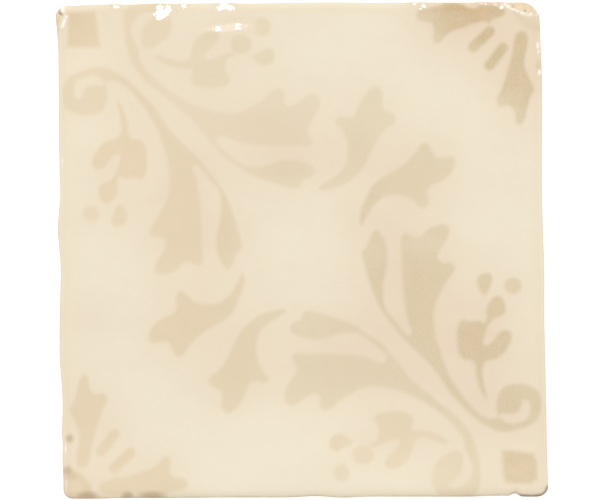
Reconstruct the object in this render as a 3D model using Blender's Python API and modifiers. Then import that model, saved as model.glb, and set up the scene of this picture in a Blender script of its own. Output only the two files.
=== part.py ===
"""A hand-made, glazed wall tile, lying on its back with the glazed face up.

One fired piece of clay. Its four edges wander a little, its corners are worn to
different radii, the arris round the face is soft, and two small blemishes are
part of its form: a nick in the lower edge and a dry, worn top right corner.

Seen from above, +X is the tile's right, +Y is its top as it hangs on a wall, and
+Z points out of the glazed face. The origin is the middle of the back.
"""

import math

import bmesh
import bpy
from mathutils import Matrix, Vector

MM = 0.001

# Driving dimensions, in millimetres
THICKNESS = 10.0
FACE_ROUNDING = 2.0
BACK_ARRIS = 0.7
ROUNDING_STEPS = 5
CORNER_STEPS = 8
EDGE_STEP = 3.0
WELD = 0.01

# Each edge of the outline, as (distance along it, how far out it lies) from the middle
TOP_EDGE = (
    (-66.0, 65.75), (-57.0, 65.98), (-52.0, 66.12), (-45.0, 66.03), (-39.0, 66.22),
    (-33.0, 66.10), (-25.0, 66.15), (-15.0, 65.98), (0.0, 66.04), (10.0, 66.02),
    (20.0, 65.82), (32.0, 65.77), (45.0, 65.61), (56.0, 65.58), (66.0, 65.56),
)
BOTTOM_EDGE = (
    (-66.0, -65.42), (-57.0, -65.52), (-46.0, -65.44), (-37.0, -65.55), (-20.0, -65.59),
    (-7.0, -65.73), (-3.0, -65.72), (0.5, -65.52), (4.5, -65.52), (8.5, -65.88),
    (12.0, -65.94), (16.0, -65.76), (28.0, -65.86), (44.0, -66.02), (53.0, -65.86),
    (60.0, -66.22), (66.0, -66.20),
)
LEFT_EDGE = (
    (-66.0, -64.18), (-60.0, -64.20), (-55.0, -64.38), (-50.5, -64.26), (-47.5, -64.42),
    (-40.0, -64.17), (-34.0, -64.42), (-28.0, -64.82), (-16.0, -64.67), (-5.0, -64.30),
    (1.0, -64.60), (6.3, -64.98), (10.5, -64.66), (15.0, -64.24), (28.0, -64.44),
    (44.0, -64.34), (52.0, -64.32), (57.5, -64.50), (62.5, -65.02), (66.0, -65.02),
)
RIGHT_EDGE = (
    (-66.0, 65.00), (-60.0, 64.92), (-54.0, 64.76), (-44.0, 64.70), (-30.0, 64.56),
    (-20.0, 64.44), (-5.0, 64.56), (1.0, 64.40), (6.0, 64.26), (16.0, 64.20),
    (30.0, 64.36), (45.0, 64.50), (52.0, 64.24), (58.0, 64.10), (66.0, 64.00),
)
TOP_LEFT_RADIUS = 2.9
TOP_RIGHT_RADIUS = 5.0
BOTTOM_RIGHT_RADIUS = 3.0
BOTTOM_LEFT_RADIUS = 2.4

# The nick in the lower edge: a small upright groove
NICK_X = 55.7
NICK_RADIUS = 1.9
NICK_DEPTH = 0.75
NICK_SIDES = 24

# The worn corner: a shallow flat that leans outwards across the top right arris
WORN_POINT = (59.6, 62.6)
WORN_HEADING_DEG = 72.0
WORN_TILT_DEG = 24.0
WORN_CUTTER_SIDE = 16.0

# A face is level where its normal's Z is past this
LEVEL = 0.5
SHARP_DEG = 40

GLAZE_COLOUR = (0.80, 0.71, 0.55, 1.0)
GLAZE_ROUGHNESS = 0.12


def clear_scene():
    for obj in list(bpy.data.objects):
        bpy.data.objects.remove(obj)


def new_collection(name):
    collection = bpy.data.collections.new(name)
    bpy.context.scene.collection.children.link(collection)
    return collection


def smooth_between(knots, along):
    """How far out an edge lies at one distance along it: a smooth curve through its knots."""
    places = [knot[0] for knot in knots]
    index = max(i for i, place in enumerate(places[:-1]) if place <= along)
    before = knots[max(index - 1, 0)]
    start, end = knots[index], knots[index + 1]
    after = knots[min(index + 2, len(knots) - 1)]
    span = end[0] - start[0]
    share = (along - start[0]) / span
    start_slope = (end[1] - before[1]) / (end[0] - before[0]) * span
    end_slope = (after[1] - start[1]) / (after[0] - start[0]) * span
    square, cube = share**2, share**3
    return (
        (2 * cube - 3 * square + 1) * start[1]
        + (cube - 2 * square + share) * start_slope
        + (3 * square - 2 * cube) * end[1]
        + (cube - square) * end_slope
    )


def corner_point(upright, level):
    """Where an upright edge and a level edge would meet if the corner were sharp."""
    x = smooth_between(upright, smooth_between(level, 0))
    return Vector((x, smooth_between(level, x)))


def corner_arc(corner, radius, x_side, y_side, start_deg):
    """The rounded corner, as points of a quarter circle counterclockwise from start_deg."""
    centre = corner - Vector((x_side * radius, y_side * radius))
    angles = [math.radians(start_deg + 90 * i / CORNER_STEPS) for i in range(CORNER_STEPS + 1)]
    return [centre + radius * Vector((math.cos(a), math.sin(a))) for a in angles]


def edge_run(knots, start, end):
    """Places along an edge from one corner to the next, both ends left out."""
    count = max(2, round(abs(end - start) / EDGE_STEP))
    places = [start + (end - start) * i / count for i in range(1, count)]
    return [(place, smooth_between(knots, place)) for place in places]


def outline_points():
    """The tile's outline seen from above, counterclockwise from the right end of the top edge."""
    top_right = corner_point(RIGHT_EDGE, TOP_EDGE)
    top_left = corner_point(LEFT_EDGE, TOP_EDGE)
    bottom_left = corner_point(LEFT_EDGE, BOTTOM_EDGE)
    bottom_right = corner_point(RIGHT_EDGE, BOTTOM_EDGE)
    arcs = [
        corner_arc(top_right, TOP_RIGHT_RADIUS, 1, 1, 0),
        corner_arc(top_left, TOP_LEFT_RADIUS, -1, 1, 90),
        corner_arc(bottom_left, BOTTOM_LEFT_RADIUS, -1, -1, 180),
        corner_arc(bottom_right, BOTTOM_RIGHT_RADIUS, 1, -1, 270),
    ]
    points = list(arcs[0])
    points += [Vector(p) for p in edge_run(TOP_EDGE, arcs[0][-1].x, arcs[1][0].x)]
    points += arcs[1]
    points += [Vector((x, y)) for y, x in edge_run(LEFT_EDGE, arcs[1][-1].y, arcs[2][0].y)]
    points += arcs[2]
    points += [Vector(p) for p in edge_run(BOTTOM_EDGE, arcs[2][-1].x, arcs[3][0].x)]
    points += arcs[3]
    points += [Vector((x, y)) for y, x in edge_run(RIGHT_EDGE, arcs[3][-1].y, arcs[0][0].y)]
    return points


def slab_from_outline(name, points):
    """A flat outline given half the thickness on each side, then made one closed mesh."""
    curve = bpy.data.curves.new(name + "_outline", "CURVE")
    curve.dimensions = "2D"
    curve.fill_mode = "BOTH"
    curve.extrude = THICKNESS / 2 * MM
    spline = curve.splines.new("POLY")
    spline.points.add(len(points) - 1)
    for spot, point in zip(spline.points, points):
        spot.co = (point.x * MM, point.y * MM, 0, 1)
    spline.use_cyclic_u = True
    drawn = bpy.data.objects.new(name + "_outline", curve)
    bpy.context.scene.collection.objects.link(drawn)
    bpy.context.view_layer.update()
    graph = bpy.context.evaluated_depsgraph_get()
    mesh = bpy.data.meshes.new_from_object(drawn.evaluated_get(graph))
    bpy.data.objects.remove(drawn)

    solid = bmesh.new()
    solid.from_mesh(mesh)
    bmesh.ops.remove_doubles(solid, verts=solid.verts, dist=WELD * MM)
    for facing in (1, -1):
        cap = [face for face in solid.faces if face.normal.z * facing > LEVEL]
        bmesh.ops.dissolve_faces(solid, faces=cap)
    bmesh.ops.recalc_face_normals(solid, faces=solid.faces)
    bmesh.ops.translate(solid, verts=solid.verts, vec=(0, 0, THICKNESS / 2 * MM))
    mark_rims(solid)
    solid.to_mesh(mesh)
    solid.free()
    mesh.name = name
    return mesh


def mark_rims(solid):
    """Weights for the bevel: the rim of the face takes all of it, the rim of the back a part."""
    weight = solid.edges.layers.float.new("bevel_weight_edge")
    middle = THICKNESS / 2 * MM
    for edge in solid.edges:
        level_faces = [face for face in edge.link_faces if abs(face.normal.z) > LEVEL]
        if len(level_faces) == 1:
            above = edge.verts[0].co.z > middle
            edge[weight] = 1.0 if above else BACK_ARRIS / FACE_ROUNDING


def soften_rims(tile):
    bevel = tile.modifiers.new("soft_arrises", "BEVEL")
    bevel.limit_method = "WEIGHT"
    bevel.width = FACE_ROUNDING * MM
    bevel.segments = ROUNDING_STEPS


def cut_away(tile, cutter, name):
    cutter.hide_render = True
    cutter.display_type = "WIRE"
    boolean = tile.modifiers.new(name, "BOOLEAN")
    boolean.operation = "DIFFERENCE"
    boolean.object = cutter


def nick_cutter(collection):
    """An upright round bar that bites into the lower edge."""
    edge_y = smooth_between(BOTTOM_EDGE, NICK_X)
    bar = bmesh.new()
    bmesh.ops.create_cone(
        bar,
        cap_ends=True,
        segments=NICK_SIDES,
        radius1=NICK_RADIUS * MM,
        radius2=NICK_RADIUS * MM,
        depth=2 * THICKNESS * MM,
        matrix=Matrix.Translation(
            Vector((NICK_X, edge_y + NICK_DEPTH - NICK_RADIUS, THICKNESS / 2)) * MM
        ),
    )
    return cutter_object("nick_cutter", bar, collection)


def worn_corner_cutter(collection):
    """A block whose underside is the worn flat, tilted outwards over the top right corner."""
    block = bmesh.new()
    bmesh.ops.create_cube(block, size=WORN_CUTTER_SIDE * MM)
    lift = Matrix.Translation((0, 0, WORN_CUTTER_SIDE / 2 * MM))
    tilt = Matrix.Rotation(math.radians(WORN_TILT_DEG), 4, "Y")
    heading = Matrix.Rotation(math.radians(WORN_HEADING_DEG), 4, "Z")
    place = Matrix.Translation(Vector((*WORN_POINT, THICKNESS)) * MM)
    bmesh.ops.transform(block, matrix=place @ heading @ tilt @ lift, verts=block.verts)
    return cutter_object("worn_corner_cutter", block, collection)


def cutter_object(name, shape, collection):
    mesh = bpy.data.meshes.new(name)
    shape.to_mesh(mesh)
    shape.free()
    cutter = bpy.data.objects.new(name, mesh)
    collection.objects.link(cutter)
    return cutter


def cream_glaze():
    material = bpy.data.materials.new("cream_glaze")
    material.use_nodes = True
    shader = material.node_tree.nodes["Principled BSDF"]
    shader.inputs["Base Color"].default_value = GLAZE_COLOUR
    shader.inputs["Roughness"].default_value = GLAZE_ROUGHNESS
    shader.inputs["Metallic"].default_value = 0.0
    return material


def main():
    clear_scene()
    tile_parts = new_collection("wall_tile")
    cutters = new_collection("cutters")
    tile = bpy.data.objects.new("wall_tile", slab_from_outline("wall_tile", outline_points()))
    tile_parts.objects.link(tile)
    tile.data.materials.append(cream_glaze())
    tile.data.shade_smooth()
    tile.data.set_sharp_from_angle(angle=math.radians(SHARP_DEG))
    soften_rims(tile)
    cut_away(tile, nick_cutter(cutters), "nick")
    cut_away(tile, worn_corner_cutter(cutters), "worn_corner")


main()
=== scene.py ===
"""The look of a hand-made wall tile: its glaze, ornament, worn edges and clay, lit on a pale floor.

Lengths are in millimetres on the tile. Its back lies on z = 0 with its middle at the
origin, +X is its right and +Y its top. The finished meshes are in metres.
"""

import math

import bpy
import numpy as np
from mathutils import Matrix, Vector

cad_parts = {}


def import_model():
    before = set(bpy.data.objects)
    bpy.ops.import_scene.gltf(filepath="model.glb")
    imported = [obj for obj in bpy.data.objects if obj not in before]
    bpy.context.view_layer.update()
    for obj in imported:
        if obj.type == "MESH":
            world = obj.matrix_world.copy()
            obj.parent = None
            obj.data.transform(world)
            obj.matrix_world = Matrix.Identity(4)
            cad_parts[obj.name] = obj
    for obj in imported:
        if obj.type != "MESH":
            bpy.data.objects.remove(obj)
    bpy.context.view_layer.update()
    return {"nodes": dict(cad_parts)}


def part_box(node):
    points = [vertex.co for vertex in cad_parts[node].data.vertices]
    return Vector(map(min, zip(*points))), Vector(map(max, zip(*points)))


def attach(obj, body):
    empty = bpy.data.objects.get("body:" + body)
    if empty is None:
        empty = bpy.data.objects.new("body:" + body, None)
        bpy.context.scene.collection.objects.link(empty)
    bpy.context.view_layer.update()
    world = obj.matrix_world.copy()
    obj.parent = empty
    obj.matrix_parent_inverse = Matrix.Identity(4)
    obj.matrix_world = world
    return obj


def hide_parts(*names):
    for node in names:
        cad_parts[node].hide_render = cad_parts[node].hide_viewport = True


MM = 0.001
TILE = "wall_tile"

# The slab, as its solid has it, and how near two heights are the same
FACE_ROUNDING = 2.0
BACK_ARRIS = 0.7
SAME_HEIGHT = 0.05

# The mesh: a grid over the middle of the face, then rings from it over the edge to the back
GRID_HALF = (58.6, 59.9)
GRID_CELL = 0.51
OUTLINE_STEPS = 8
FACE_RINGS = 21
SIDE_RINGS = 5
CLAY_RINGS = 13
CLAY_SAMPLES = 120
BACK_RIM = 0.6
# Stands for a distance that is well out of reach
FAR = 99.0

# The face is a little full in the middle and heaves gently, in waves given as their length,
# heading, height and start
EDGE_BAND = 6.0
EDGE_DROP = 0.12
HEAVES = (
    (61.0, 12.0, 0.05, 0.4), (47.0, -38.0, 0.04, 2.1), (33.0, 71.0, 0.03, 4.4),
    (24.0, 25.0, 0.015, 1.2),
)
HEAVE_MARGIN = 1.0

# The glaze film stops on the side, at a lip that wanders: waves round the tile and their height
GLAZE_THICKNESS = 0.08
LIP_ON_SIDE = 8.3
LIP_WANDER = ((3, 0.55), (7, 0.45), (13, 0.40), (29, 0.28), (61, 0.16))
LIP_SEED = 7
LIP_ABOVE_BACK = 1.0
# The lip climbs to a bare place no steeper than this, and is smoothed over this length
LIP_FALL = 3.0
LIP_BLUR = 1.3
# How far in on the face, and at how many places, each column is searched for bare clay
BARE_SEARCH = 3.5
BARE_SEARCH_PLACES = 60

# The bead along the lip: each ring, as how far past the lip and how far under the skin it lies
BEAD_RINGS = (
    (-0.90, -0.05), (-0.66, -0.06), (-0.42, -0.03), (-0.20, 0.00), (-0.04, 0.05), (0.05, 0.15),
)
BEAD_START = 1.20
LAST_SIDE_STEP = 0.2
# The clay starts just past the lip, and comes back up to the skin over this length at the back
CLAY_START = 0.12
CLAY_TAPER = 0.8

# Where the glaze has drawn back over the edge and the clay shows: loops on the face
WORN_CORNER = (
    (51.5, 68.0), (52.9, 66.5), (55.1, 65.3), (56.4, 64.3), (58.2, 63.4), (60.2, 62.7),
    (62.2, 62.4), (63.5, 63.1), (65.0, 64.9), (66.0, 68.0),
)
CHIPPED_CORNER = (
    (-66.2, 58.9), (-64.7, 59.5), (-64.1, 61.0), (-63.6, 62.4), (-63.4, 63.4), (-64.1, 64.4),
    (-66.2, 65.4),
)

# The dry flat on the worn corner: a point on it, which way it leans and how much
WORN_POINT = (59.6, 62.6)
WORN_HEADING_DEG = 72.0
WORN_TILT_DEG = 24.0

# The nick in the lower edge
NICK_X = 56.1
NICK_HALF_WIDTH = 1.60
NICK_DEPTH = 0.72

# The ornament repeats by a half turn: (x, y) goes to (TURN_SUM x - x, TURN_SUM y - y)
TURN_SUM = (0.08, 0.48)
STAIN_BLEED = 0.7

UPPER_SCROLL = (
    (-42.0, 55.1), (-42.2, 57.0), (-41.4, 60.0), (-39.4, 62.1), (-38.2, 63.2), (-39.8, 64.0),
    (-42.4, 63.2), (-44.4, 60.6), (-44.7, 58.0), (-43.6, 55.6), (-42.8, 53.8), (-42.5, 51.4),
    (-40.9, 48.8), (-38.5, 46.0), (-34.0, 42.4), (-29.0, 39.5), (-24.5, 37.8), (-20.0, 36.9),
    (-16.8, 36.8), (-13.2, 38.3), (-10.0, 40.1), (-7.2, 42.6), (-5.5, 43.0), (-4.3, 42.2),
    (-4.3, 39.6), (-3.4, 38.5), (-1.6, 38.8), (1.0, 40.6), (3.2, 41.6), (4.9, 40.6),
    (5.1, 38.5), (3.4, 35.0), (1.8, 32.6), (2.0, 31.0), (3.1, 29.1), (2.2, 27.9),
    (-2.0, 28.0), (-10.0, 28.1), (-16.0, 28.8), (-19.6, 30.3), (-21.3, 30.6), (-22.2, 29.5),
    (-21.4, 27.8), (-18.3, 25.1), (-15.2, 22.9), (-12.5, 22.5), (-9.0, 22.9), (-6.5, 23.7),
    (-3.0, 24.2), (0.5, 23.5), (3.0, 22.2), (3.5, 20.7), (2.2, 19.4), (0.4, 18.5),
    (-0.1, 17.1), (-1.4, 16.5), (-4.5, 17.1), (-9.0, 18.6), (-14.0, 20.6), (-17.0, 22.7),
    (-21.0, 25.6), (-23.4, 28.4), (-26.0, 31.5), (-29.2, 35.6), (-32.5, 38.2), (-36.0, 41.2),
    (-40.0, 44.3), (-42.6, 47.2), (-44.9, 50.8), (-46.2, 55.2), (-46.8, 60.0), (-46.5, 63.6),
    (-44.8, 66.2), (-41.5, 67.2), (-37.5, 66.8), (-34.8, 64.6), (-33.9, 61.4), (-34.5, 57.9),
    (-36.6, 55.8), (-40.2, 54.0),
)
LOWER_SCROLL = (
    (-51.3, 43.6), (-51.9, 44.8), (-52.6, 44.4), (-54.6, 44.4), (-56.6, 44.1), (-57.6, 42.8),
    (-58.3, 41.0), (-59.4, 40.9), (-60.1, 42.4), (-60.0, 44.2), (-59.2, 45.8), (-57.4, 46.6),
    (-55.0, 47.0), (-53.2, 46.4), (-52.0, 45.3), (-50.8, 45.4), (-49.4, 45.6), (-46.5, 44.1),
    (-43.2, 40.6), (-40.4, 36.8), (-38.0, 32.3), (-36.4, 27.4), (-35.3, 23.6), (-34.8, 19.0),
    (-35.2, 15.5), (-37.2, 11.0), (-39.6, 7.4), (-40.6, 5.3), (-39.4, 4.1), (-37.3, 4.0),
    (-36.0, 2.6), (-36.8, 0.4), (-38.6, -2.4), (-39.2, -4.7), (-38.2, -6.0), (-35.4, -5.7),
    (-33.0, -4.5), (-31.6, -3.0), (-30.2, -2.7), (-27.6, -3.8), (-26.5, -3.0),
    (-26.4, 0.0), (-26.5, 5.0), (-26.7, 11.0), (-27.3, 16.0), (-28.2, 20.6), (-28.9, 22.3),
    (-28.2, 23.3), (-26.8, 22.3), (-24.4, 19.2), (-22.2, 16.7), (-21.4, 13.4), (-21.7, 8.5),
    (-22.6, 4.2), (-22.6, 0.2), (-21.6, -2.8), (-19.7, -4.8), (-18.3, -3.3), (-17.4, -0.9),
    (-16.0, 0.9), (-16.7, 4.8), (-18.1, 9.8), (-19.8, 14.3), (-21.4, 17.2), (-24.2, 20.9),
    (-27.0, 24.5), (-30.4, 27.9), (-33.3, 30.7), (-36.0, 34.2), (-38.8, 38.5), (-42.4, 42.6),
    (-45.8, 45.8), (-50.0, 48.5), (-52.2, 49.2), (-54.6, 49.3), (-56.6, 48.8), (-58.8, 48.1),
    (-60.6, 47.3), (-62.0, 46.0), (-62.7, 44.2), (-63.1, 42.4), (-62.9, 40.4), (-62.2, 38.4),
    (-60.6, 37.2), (-58.4, 36.6), (-56.0, 36.5), (-54.0, 36.9), (-52.6, 37.9), (-51.7, 39.6),
    (-51.2, 41.6),
)
UPPER_SPRIG = (
    (-38.4, 51.7), (-37.6, 52.3), (-35.0, 51.5), (-31.2, 50.5), (-29.4, 51.4), (-28.6, 54.2),
    (-27.0, 56.9), (-24.8, 58.4), (-22.6, 58.6), (-21.4, 57.6), (-22.0, 55.7), (-24.2, 53.5),
    (-25.3, 51.9), (-24.2, 50.9), (-21.4, 51.9), (-18.4, 53.0), (-17.2, 52.0), (-19.3, 51.0),
    (-19.8, 49.0), (-19.4, 47.0), (-18.5, 45.4), (-19.4, 44.2), (-24.4, 43.5), (-27.8, 44.1),
    (-29.0, 45.9), (-28.6, 48.2), (-30.5, 48.6), (-34.8, 49.4),
)
LOWER_SPRIG = (
    (-48.6, 40.2), (-47.6, 39.2), (-46.6, 36.8), (-45.9, 34.0), (-45.7, 31.6), (-44.6, 30.1),
    (-42.8, 29.9), (-41.4, 28.4), (-40.9, 25.0), (-41.1, 21.4), (-42.2, 19.4), (-44.6, 19.8),
    (-46.6, 19.6), (-48.4, 20.1), (-48.9, 18.6), (-50.6, 19.1), (-49.2, 20.9), (-48.3, 23.6),
    (-47.9, 25.5), (-48.9, 26.1), (-50.6, 24.8), (-52.1, 22.8), (-54.0, 22.1), (-55.4, 23.1),
    (-55.2, 25.2), (-53.4, 28.2), (-51.2, 29.8), (-48.6, 30.5), (-47.6, 32.4), (-47.8, 35.6),
)
ARM_BESIDE_TOP = (
    (4.6, 16.5), (5.4, 16.0), (8.0, 16.4), (11.6, 17.5), (14.4, 19.7), (16.6, 21.9),
    (18.6, 25.8), (20.8, 29.9), (22.6, 32.0), (24.9, 33.6), (25.3, 35.3), (24.0, 36.5),
    (22.0, 37.5), (21.7, 39.6), (21.9, 41.8), (20.2, 43.5), (18.4, 42.6), (16.4, 40.1),
    (15.0, 37.2), (14.0, 35.4), (12.2, 35.2), (10.2, 35.5), (9.2, 34.3), (10.8, 32.3),
    (12.2, 29.2), (12.4, 26.0), (11.8, 22.8), (10.0, 20.3), (7.0, 18.5),
)
ARM_BESIDE_RIGHT = (
    (16.0, 6.4), (15.4, 7.6), (15.7, 10.2), (17.3, 14.0), (18.8, 17.0), (21.2, 19.0),
    (24.7, 20.9), (28.2, 23.4), (30.4, 25.8), (32.0, 28.0), (33.6, 28.3), (34.7, 26.6),
    (35.8, 24.5), (38.0, 24.4), (40.2, 24.6), (41.1, 23.1), (40.2, 20.6), (38.2, 18.6),
    (34.6, 16.9), (33.5, 15.2), (33.8, 12.4), (32.6, 10.9), (31.1, 11.5), (29.2, 13.5),
    (25.6, 14.5), (22.4, 14.1), (19.4, 12.0), (17.4, 8.8),
)
TOP_PALMETTE = (
    (31.1, 62.4), (31.4, 61.1), (33.2, 60.5), (35.1, 60.0), (35.7, 58.4), (35.5, 56.2),
    (35.9, 55.0), (37.2, 54.9), (38.4, 56.2), (40.4, 57.7), (44.0, 58.9), (47.2, 60.0),
    (49.2, 60.2), (50.6, 59.9), (51.2, 60.7), (53.4, 61.4), (54.6, 62.4), (54.4, 63.6),
    (52.6, 64.5), (49.8, 64.9), (47.8, 64.7), (46.8, 63.9), (45.4, 64.0), (43.8, 64.9),
    (41.6, 65.5), (38.6, 65.5), (36.8, 64.7), (34.4, 64.1), (32.0, 63.6),
)
RIGHT_PALMETTE = (
    (57.5, 57.0), (59.0, 57.8), (60.4, 57.0), (60.6, 54.0), (60.0, 51.4), (59.7, 48.6),
    (60.8, 45.6), (62.1, 42.2), (61.2, 40.0), (60.4, 37.4), (59.6, 34.4), (58.4, 32.8),
    (57.3, 33.5), (56.8, 36.6), (55.3, 38.0), (53.0, 37.8), (52.1, 39.2), (53.6, 42.6),
    (54.8, 46.2), (56.0, 50.4), (56.8, 54.4),
)
UPPER_BEAN = (
    (-12.9, 51.6), (-11.5, 50.2), (-9.8, 49.3), (-8.0, 49.6), (-6.8, 51.2), (-7.0, 53.2),
    (-8.8, 53.8), (-10.6, 52.8),
)
LOWER_DROP = (
    (-48.3, 12.8), (-47.3, 12.1), (-46.4, 10.2), (-46.4, 8.4), (-47.6, 7.2), (-49.6, 7.0),
    (-50.5, 8.2), (-50.0, 10.3), (-49.2, 12.2),
)
LOWER_BERRY = (
    (-49.6, 19.4), (-51.6, 18.8), (-53.6, 17.8), (-53.9, 16.0), (-53.0, 13.6), (-51.6, 13.0),
    (-50.2, 13.8), (-49.0, 15.8), (-48.7, 17.6),
)
# Each corner square and how strongly it was printed
SQUARES = (
    (((-61.6, 64.0), (-54.3, 64.0), (-52.9, 54.5), (-61.8, 54.6)), 0.73),
    (
        (
            (52.5, -53.7), (55.0, -53.6), (60.9, -54.5), (61.9, -56.5), (61.9, -61.4), (60.2, -62.6),
            (53.5, -62.3), (52.8, -59.5),
        ),
        0.88,
    ),
)
SQUARE_BLEED = 0.9

# Each leaf form, how strongly it was printed as drawn, and how strongly its turned copy was
LEAVES = (
    (UPPER_SCROLL, 0.36, 0.50),
    (LOWER_SCROLL, 0.50, 0.70),
    (UPPER_SPRIG, 0.40, 0.51),
    (LOWER_SPRIG, 0.58, 0.86),
    (ARM_BESIDE_TOP, 0.42, 0.55),
    (ARM_BESIDE_RIGHT, 0.56, 0.58),
    (TOP_PALMETTE, 1.14, 0.55),
    (RIGHT_PALMETTE, 0.99, 0.57),
    (UPPER_BEAN, 0.44, 0.53),
    (LOWER_DROP, 0.50, 0.79),
    (LOWER_BERRY, 0.55, 0.85),
)

# Berries, as middle x, middle y, half width, half height, strength, strength of the turned copy
BERRIES = (
    (-15.7, 54.9, 2.9, 2.5, 0.46, 0.45),
    (-9.8, 59.6, 2.1, 2.4, 0.38, 0.40),
    (-55.9, 10.4, 2.3, 2.2, 0.40, 0.67),
    (63.5, 48.6, 0.8, 1.2, 0.60, 0.00),
)
# Petals between the palmettes, as one end, the other end, half width, strength, turned strength
PETALS = (
    ((46.2, 53.7), (50.5, 57.7), 1.4, 1.14, 0.62),
    ((50.4, 48.7), (54.0, 53.3), 1.4, 1.05, 0.57),
)
# The quarter disc in the corner between the palmettes
DISC_MIDDLE = (64.5, 65.6)
DISC_RADIUS = 8.3
DISC_STRENGTHS = (0.22, 0.48)
DISC_RIM = 1.2
DISC_RIM_STRENGTHS = (0.24, 0.20)
# Where the print pooled near the edges, as middle, half sizes, strength and how burnt
EDGE_STAINS = (
    (-62.2, -49.3, 1.0, 1.0, 0.90, 0.16),
    (-62.9, -57.9, 1.3, 1.2, 0.75, 0.22),
    (-61.7, -59.4, 1.2, 0.9, 0.55, 0.14),
    (-57.8, -64.7, 2.5, 1.3, 0.60, 0.38),
    (-47.0, -64.6, 1.4, 1.1, 0.60, 0.36),
    (-40.5, -64.7, 3.0, 1.1, 0.60, 0.36),
    (52.2, 63.1, 2.6, 1.3, 0.00, 0.12),
)
# Dark lines along the edges, partly the dark rim of the clay and partly painted shade at the
# outline, as their run, half width and how dark
EDGE_LINES = (
    (((57.4, -65.8), (60.5, -66.0), (63.2, -65.7), (64.2, -64.9), (64.7, -63.6)), 0.40, 0.90),
    (((-64.6, 64.8), (-64.9, 63.4), (-65.0, 61.9), (-64.9, 60.8)), 0.26, 0.42),
    (((54.9, 66.1), (57.5, 66.1), (60.5, 65.7), (62.4, 64.6)), 0.28, 0.60),
    (((54.8, -65.3), (56.1, -64.8), (57.3, -65.3)), 0.25, 0.30),
)

# Round the print the glaze is pinker, as the print blurred and seen from afar would be
HALO_REACH = 6.0
HALO_MAP_HALF = 68.0
HALO_CELL = 2.0
HALO_UNDER_PRINT = 0.45

# Soft patches where the cream is lighter (above zero) or darker: x, y, reach x, reach y, amount
TONE_PATCHES = (
    (-4.0, 23.0, 22.0, 9.0, -0.55),
    (18.0, -20.0, 10.0, 14.0, -0.75),
    (16.0, 8.0, 9.0, 8.0, -0.35),
    (-57.0, -18.0, 8.0, 9.0, -0.40),
    (46.0, -38.0, 11.0, 8.0, -0.38),
    (48.0, -20.0, 12.0, 9.0, -0.18),
    (-57.0, 54.0, 9.0, 14.0, 0.90),
    (-55.0, 32.0, 9.0, 9.0, 0.65),
    (-42.0, 23.0, 6.0, 7.0, 0.50),
    (4.0, -44.0, 24.0, 7.0, 0.50),
    (-56.0, -57.0, 13.0, 9.0, 0.85),
    (-18.0, -57.0, 24.0, 8.0, 0.35),
    (26.0, -58.0, 13.0, 7.0, 0.80),
    (55.0, -58.0, 10.0, 8.0, 1.25),
    (54.0, 42.0, 9.0, 9.0, 0.35),
    (0.0, -56.0, 60.0, 14.0, 0.35),
)

# The print is warm on the left and olive from the middle on, but for soft patches of one or
# the other: x, y, reach x, reach y, share of olive
OLIVE_FROM, OLIVE_TO = -45.0, 15.0
OLIVE_LEAST, OLIVE_MOST = 0.32, 0.92
PRINT_HUES = (
    (-28.0, 52.0, 14.0, 12.0, 0.28),
    (-45.0, 58.0, 4.0, 9.0, -0.30),
    (-57.5, 60.0, 4.5, 4.5, 0.20),
    (-52.0, 14.0, 12.0, 12.0, -0.35),
    (-48.0, -56.0, 18.0, 12.0, -0.15),
    (37.5, -61.0, 7.0, 6.0, -0.45),
    (20.0, -53.0, 18.0, 9.0, -0.95),
    (42.0, 14.0, 12.0, 7.0, -0.30),
    (50.0, 63.0, 6.0, 3.0, -0.30),
    (58.8, 56.0, 2.5, 2.5, -0.30),
    (55.0, -13.0, 6.0, 8.0, -0.30),
    (57.0, -58.0, 6.0, 6.0, -0.35),
)

# Where the print took more (above zero) or less: x, y, reach x, reach y, share
PRINT_SHADES = (
    (52.4, 63.0, 3.0, 2.0, -0.24),
    (41.5, 64.6, 3.6, 1.6, 0.15),
    (32.4, 62.0, 4.2, 2.6, -0.42),
    (36.8, 56.2, 2.6, 2.6, -0.38),
    (46.2, 53.6, 2.0, 2.0, -0.22),
    (58.8, 55.8, 2.0, 3.0, 0.12),
    (52.8, 38.8, 3.0, 2.6, -0.34),
    (58.2, 34.8, 2.6, 3.2, -0.34),
    (57.0, 40.5, 2.5, 2.5, -0.15),
    (38.5, 62.5, 3.5, 3.0, -0.12),
    (-59.6, 61.4, 2.2, 3.0, 0.16),
    (-54.6, 56.4, 2.6, 2.2, -0.12),
    (-5.0, 21.0, 8.0, 3.0, 0.28),
    (15.5, 26.0, 3.0, 5.0, 0.28),
    (19.0, 13.0, 3.0, 5.0, 0.20),
    (-21.0, 5.0, 3.0, 9.0, 0.25),
    (32.0, 1.5, 7.0, 4.0, -0.27),
    (19.0, 0.0, 3.0, 4.0, -0.20),
    (-45.0, 58.0, 3.5, 8.0, 0.36),
    (56.0, -55.8, 5.0, 1.8, 0.10),
    (56.5, -58.8, 2.0, 1.2, -0.08),
    (37.5, -61.0, 5.0, 5.5, -0.22),
    (54.8, -43.0, 5.0, 7.0, 0.15),
    (33.6, -39.0, 8.0, 6.0, 0.18),
    (-40.0, 47.0, 6.0, 6.0, 0.22),
    (-37.5, 58.0, 3.5, 4.5, 0.12),
)

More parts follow.
